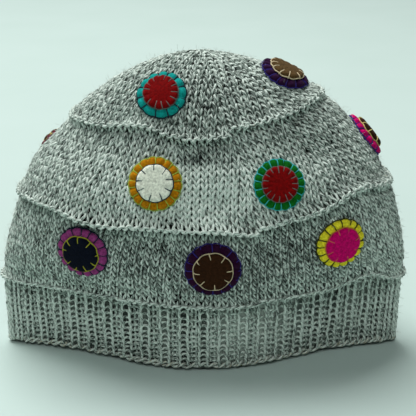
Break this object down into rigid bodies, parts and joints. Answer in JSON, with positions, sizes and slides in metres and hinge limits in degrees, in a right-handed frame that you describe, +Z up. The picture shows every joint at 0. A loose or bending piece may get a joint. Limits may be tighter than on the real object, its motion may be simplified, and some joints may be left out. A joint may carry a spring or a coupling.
{
  "type": "knitted wool hat with felt patches",
  "caption": "Thick knitted wool hat with a ribbed brim, raised welts around the crown and round felt patches sewn on in rows.",
  "frame": {"origin": "on the floor under the middle of the hat, in the plane of its rim", "axes": "+X to the right as the front is looked at, +Y to the back, +Z up; the front faces -Y"},
  "size_m": [0.242, 0.1114, 0.179],
  "materials": {
    "wool": "thick marled grey wool yarn in stockinette and rib, matt and slightly hairy",
    "felt_violet": "matt violet wool felt, soft cut edge, sewn round with blanket stitches",
    "felt_navy": "matt navy wool felt, soft cut edge, sewn round with blanket stitches",
    "felt_aubergine": "matt aubergine wool felt, soft cut edge, sewn round with blanket stitches",
    "felt_umber": "matt umber wool felt, soft cut edge, sewn round with blanket stitches",
    "felt_yellow": "matt yellow wool felt, soft cut edge, sewn round with blanket stitches",
    "felt_magenta": "matt magenta wool felt, soft cut edge, sewn round with blanket stitches",
    "felt_orange": "matt orange wool felt, soft cut edge, sewn round with blanket stitches",
    "felt_cream": "matt cream wool felt, soft cut edge, sewn round with blanket stitches",
    "felt_green": "matt green wool felt, soft cut edge, sewn round with blanket stitches",
    "felt_red": "matt red wool felt, soft cut edge, sewn round with blanket stitches",
    "felt_turquoise": "matt turquoise wool felt, soft cut edge, sewn round with blanket stitches",
    "felt_purple": "matt purple wool felt, soft cut edge, sewn round with blanket stitches",
    "felt_olive": "matt olive wool felt, soft cut edge, sewn round with blanket stitches",
    "felt_tan": "matt tan wool felt, soft cut edge, sewn round with blanket stitches",
    "felt_burgundy": "matt burgundy wool felt, soft cut edge, sewn round with blanket stitches"
  },
  "bodies": {
    "root": {"crown": "wool", "ribbed_brim": "wool", "felt_disc_low_left": "felt_violet", "felt_dot_low_left": "felt_navy", "felt_disc_low_front": "felt_aubergine", "felt_dot_low_front": "felt_umber", "felt_disc_low_right": "felt_yellow", "felt_dot_low_right": "felt_magenta", "felt_disc_low_back_1": "felt_orange", "felt_dot_low_back_1": "felt_cream", "felt_disc_low_back_2": "felt_turquoise", "felt_dot_low_back_2": "felt_red", "felt_disc_low_back_3": "felt_yellow", "felt_dot_low_back_3": "felt_umber", "felt_disc_low_back_4": "felt_green", "felt_dot_low_back_4": "felt_magenta", "felt_disc_middle_left": "felt_orange", "felt_dot_middle_left": "felt_cream", "felt_disc_middle_front": "felt_green", "felt_dot_middle_front": "felt_red", "felt_disc_middle_right": "felt_magenta", "felt_dot_middle_right": "felt_umber", "felt_disc_middle_back_1": "felt_violet", "felt_dot_middle_back_1": "felt_yellow", "felt_disc_middle_back_2": "felt_aubergine", "felt_dot_middle_back_2": "felt_turquoise", "felt_disc_middle_far_left": "felt_burgundy", "felt_dot_middle_far_left": "felt_olive", "felt_disc_top_left": "felt_turquoise", "felt_dot_top_left": "felt_red", "felt_disc_top_right": "felt_purple", "felt_dot_top_right": "felt_olive", "felt_disc_top_back": "felt_tan", "felt_dot_top_back": "felt_navy", "felt_disc_top_far_left": "felt_magenta", "felt_dot_top_far_left": "felt_green"}
  },
  "joints": []
}
